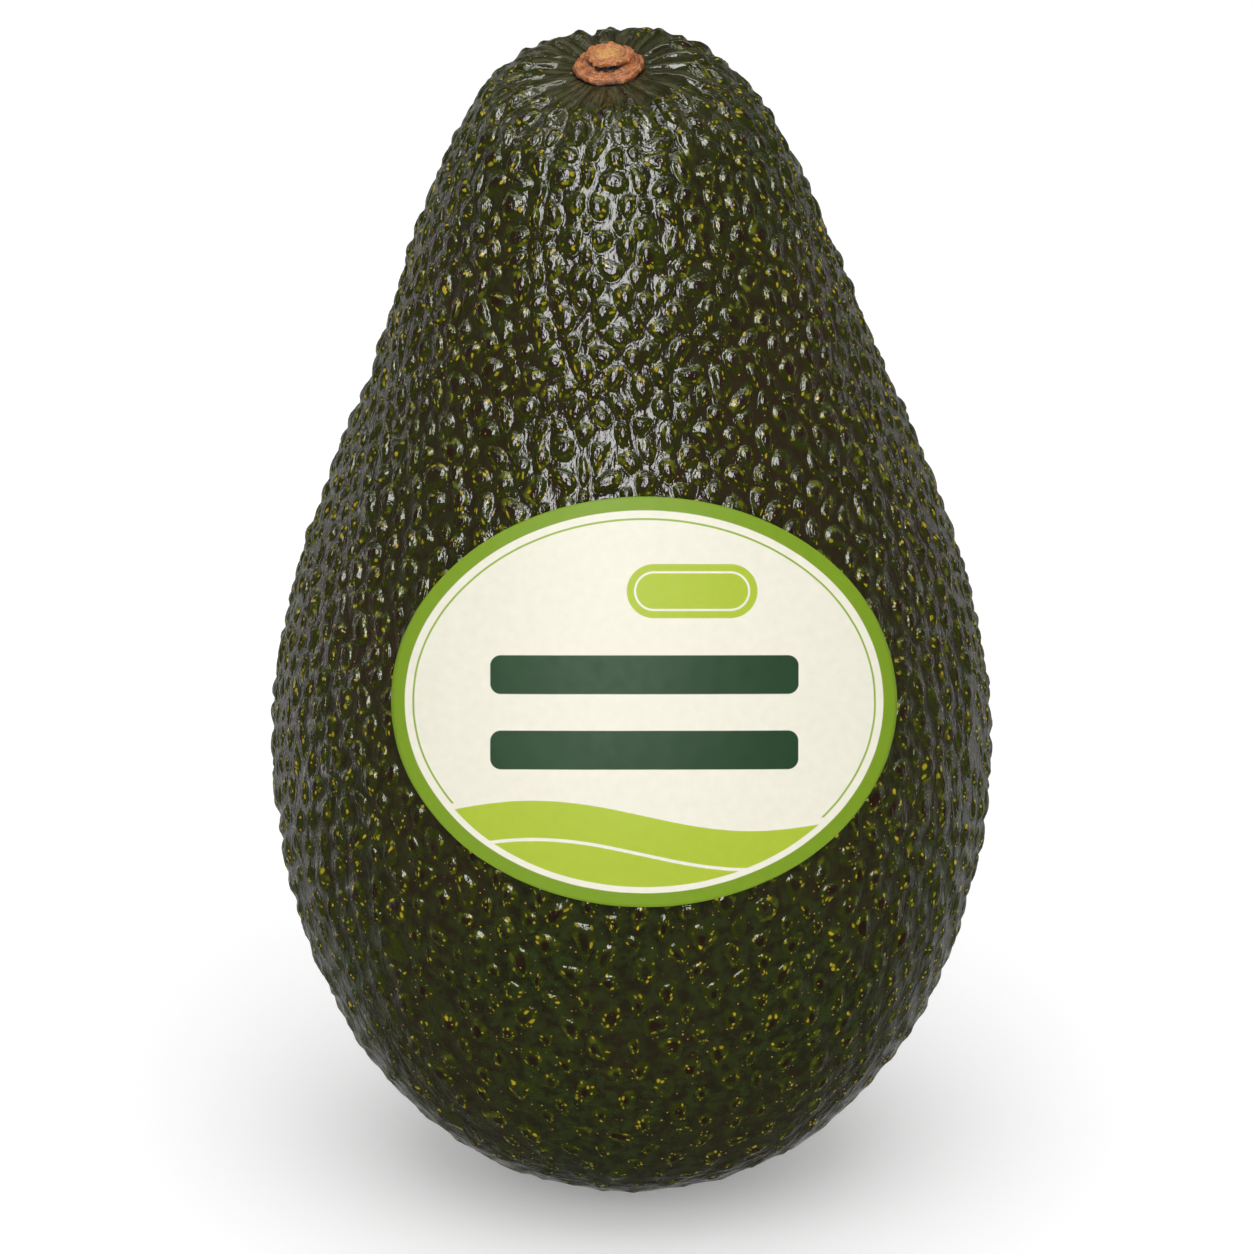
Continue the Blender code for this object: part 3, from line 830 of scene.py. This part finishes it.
def buttonMaterial():
    # dry, corky wood: matt, with growth rings, fine fibres and pale flakes, and painted shade in
    # its crack and in the groove at its foot
    material, shader, add = newMaterial("dryCorkyStemWood")
    look = {key: linearColour(stemButton[key]) for key in ("pale", "orange", "rust", "dark")}
    disc = add("UVMap", uv_map="onDisc")
    rise = add("UVMap", uv_map="rise")
    high = add("SeparateXYZ", rise, out=0)     # above the button's foot
    reach = add("SeparateXYZ", rise, out=1)    # from its axis
    metres = add("TexCoord", out="Object")
    millimetres = add("VectorMath", metres, (1 / mm, 1 / mm, 1 / mm), operation="MULTIPLY")
    blotch = add("TexNoise", links={"Vector": disc, "Scale": 1.1, "Detail": 3.0})
    fibre = add("TexNoise", links={"Vector": millimetres, "Scale": 5.0, "Detail": 4.0})
    # growth rings, 0.37 mm apart and wandering with the blotches
    turn = add("Math", reach, 17.0, operation="MULTIPLY")
    turn = add("Math", blotch, 6.0, turn, operation="MULTIPLY_ADD")
    rings = add("MapRange", add("Math", turn, operation="SINE"), -1.0, 1.0, **softStep)
    share = add("MapRange", blotch, 0.38, 0.62, **softStep)
    colour = add("Mix", links={0: share, 6: look["orange"], 7: look["rust"]}, **colourMix)
    heart = add("Math", add("MapRange", reach, 1.7, 0.5, **softStep),
                add("MapRange", high, 1.45, 1.65, **softStep), operation="MULTIPLY")
    share = add("Math", heart, 0.75, operation="MULTIPLY")
    colour = add("Mix", links={0: share, 6: colour, 7: look["pale"]}, **colourMix)
    share = add("Math", rings, 0.30, operation="MULTIPLY")
    colour = add("Mix", links={0: share, 6: colour, 7: look["pale"]}, **colourMix)
    share = add("MapRange", fibre, 0.50, 0.72, 0.0, 0.7, **softStep)
    colour = add("Mix", links={0: share, 6: colour, 7: look["rust"]}, **colourMix)
    flakes = add("TexNoise", links={"Vector": millimetres, "Scale": 2.4, "Detail": 2.0})
    flakes = add("MapRange", flakes, 0.58, 0.72, 0.0, 0.55, **softStep)
    colour = add("Mix", links={0: flakes, 6: colour, 7: look["pale"]}, **colourMix)
    # painted shade: dark colour in the crack, which the cap shades, and in the groove between base
    # and skin
    crack = add("Math", add("MapRange", high, 0.64, 0.80, **softStep),
                add("MapRange", high, 1.46, 1.32, **softStep), operation="MULTIPLY")
    inner = add("MapRange", reach, 1.86, 1.66, **softStep)
    crack = add("Math", crack, inner, operation="MULTIPLY")
    colour = add("Mix", links={0: crack, 6: colour, 7: look["dark"]}, **colourMix)
    foot = add("MapRange", high, 0.45, 0.15, 0.0, 0.8, **softStep)
    colour = add("Mix", links={0: foot, 6: colour, 7: look["dark"]}, **colourMix)
    relief = add("Math", rings, 0.5, operation="MULTIPLY")
    relief = add("Math", fibre, 1.3, relief, operation="MULTIPLY_ADD")
    relief = add("Math", flakes, 0.8, relief, operation="MULTIPLY_ADD")
    normal = add("Bump", links={"Height": relief, "Strength": 1.0, "Distance": 0.08 * mm})
    rough = add("MapRange", fibre, 0.3, 0.7, 0.55, 0.80)
    linkShader(shader, {"Base Color": colour, "Roughness": rough, "Normal": normal})
    return material


rideOnFruit(makeButton(buttonMaterial()), "stem_button")


view = dict(                 # millimetres and degrees
    elevation=20.0, distance=886.5, aimAcross=-0.38, aimHeight=50.2, frameWidth=110.3, sensor=36.0,
)

stage = dict(                # the glow grows between two distances, in metres
    albedo=0.90, glow=0.28, farGlow=0.56, glowFrom=0.3, glowTo=1.5, size=3000.0,
)


def makeStage():
    # a white floor with painted light: an emission glow, stronger further out, that keeps the
    # shadow light as a sheet lit from below would
    material, shader, add = newMaterial("glowingWhiteFloor")
    shader.inputs["Base Color"].default_value = (*[stage["albedo"]] * 3, 1)
    shader.inputs["Emission Color"].default_value = (1, 1, 1, 1)
    # painted light: the floor's emission glow, which lightens the fruit's cast shadow
    away = add("VectorMath", add("TexCoord", out="Object"), operation="LENGTH", out=1)
    glow = add("MapRange", away, stage["glowFrom"], stage["glowTo"], stage["glow"],
               stage["farGlow"], **softStep)
    linkShader(shader, {"Emission Strength": glow})
    shader.inputs["Roughness"].default_value = 0.9
    shader.inputs["Specular IOR Level"].default_value = 0.1
    size = stage["size"]
    points = np.array([[-size, -size, 0], [size, -size, 0], [size, size, 0], [-size, size, 0]])
    floor = newPiece("studioFloor", points, np.array([[0, 1, 2, 3]]), material)
    floor.visible_glossy = False


light = dict(
    # degrees round from the front and up, degrees wide and tall as seen from the fruit, brightness
    # where white paper is 1, and whether it gives gloss or shading
    glossBox=(-8, 29, 32, 48, 13.5, "glossy"),
    stripBoxLeft=(-132, 15, 7, 80, 1.6, "glossy"),
    stripBoxRight=(132, 15, 7, 80, 0.9, "glossy"),
    overheadStrip=(0, 78, 90, 10, 8.0, "glossy"),
    shadeBox=(4, 45, 50, 50, 1.35, "diffuse"),
    overheadBox=(0, 88, 60, 60, 1.0, "diffuse"),
)

room = dict(distance=900, aimHeight=60, skyShade=0.48, skyFront=0.04, skyBack=0.38)    # millimetres


def softBox(name, turn, height, wide, tall, radiance, gives):
    # a rectangular lamp that faces the fruit
    distance = room["distance"]
    turn, height = radians(turn), radians(height)
    away = Vector((sin(turn) * cos(height), -cos(turn) * cos(height), sin(height)))
    lamp = bpy.data.lights.new(name, "AREA")
    lamp.shape = "RECTANGLE"
    lamp.size, lamp.size_y = [2 * distance * mm * tan(radians(side) / 2) for side in (wide, tall)]
    lamp.energy = radiance * pi * lamp.size * lamp.size_y
    holder = bpy.data.objects.new(name, lamp)
    holder.location = away * distance * mm + Vector((0, 0, room["aimHeight"] * mm))
    holder.rotation_euler = away.to_track_quat("Z", "Y").to_euler()
    holder.visible_diffuse = gives == "diffuse"
    holder.visible_glossy = gives == "glossy"
    bpy.context.collection.objects.link(holder)


def makeLight():
    # a tall box gives the gloss its crisp patches, strips above and behind give it thin bright
    # lines, and two wide boxes that only shade do the rest; the gloss sees the room bright only
    # low behind the fruit
    for name, settings in light.items():
        softBox(name, *settings)
    world = bpy.data.worlds.new("studioRoom")
    world.use_nodes = True
    bpy.context.scene.world = world
    add = partial(addNode, world.node_tree)
    way = add("TexCoord", out="Generated")
    behind = add("MapRange", add("SeparateXYZ", way, out=1), -0.20, 0.98, **softStep)
    low = add("MapRange", add("SeparateXYZ", way, out=2), 0.25, -0.10, **softStep)
    notUnder = add("MapRange", add("SeparateXYZ", way, out=2), -0.80, -0.40, **softStep)
    share = add("Math", behind, low, operation="MULTIPLY")
    share = add("Math", share, notUnder, operation="MULTIPLY")
    mirrored = add("MapRange", share, 0.0, 1.0, room["skyFront"], room["skyBack"])
    glossy = add("LightPath", out="Is Glossy Ray")
    seen = add("LightPath", out="Is Camera Ray")
    strength = add("Mix", links={0: glossy, 2: room["skyShade"], 3: mirrored})
    strength = add("Mix", links={0: seen, 2: strength, 3: 1.0})
    background = world.node_tree.nodes["Background"]
    background.inputs["Color"].default_value = (1, 1, 1, 1)
    world.node_tree.links.new(strength, background.inputs["Strength"])


def makeCamera():
    # a long lens in front of the fruit, looking down on it a little
    camera = bpy.data.cameras.new("camera")
    camera.sensor_width = view["sensor"]
    camera.lens = view["sensor"] * view["distance"] / view["frameWidth"]
    camera.clip_start = 0.01
    camera.clip_end = 20.0
    holder = bpy.data.objects.new("camera", camera)
    tilt = radians(view["elevation"])
    aim = Vector((view["aimAcross"], 0, view["aimHeight"])) * mm
    holder.location = aim + Vector((0, -cos(tilt), sin(tilt))) * view["distance"] * mm
    holder.rotation_euler = (pi / 2 - tilt, 0, 0)
    bpy.context.collection.objects.link(holder)
    bpy.context.scene.camera = holder


makeStage()
makeLight()
makeCamera()
bpy.context.scene.view_settings.view_transform = "Standard"
print("studio ready:", len(light), "lamps, one floor, one camera")
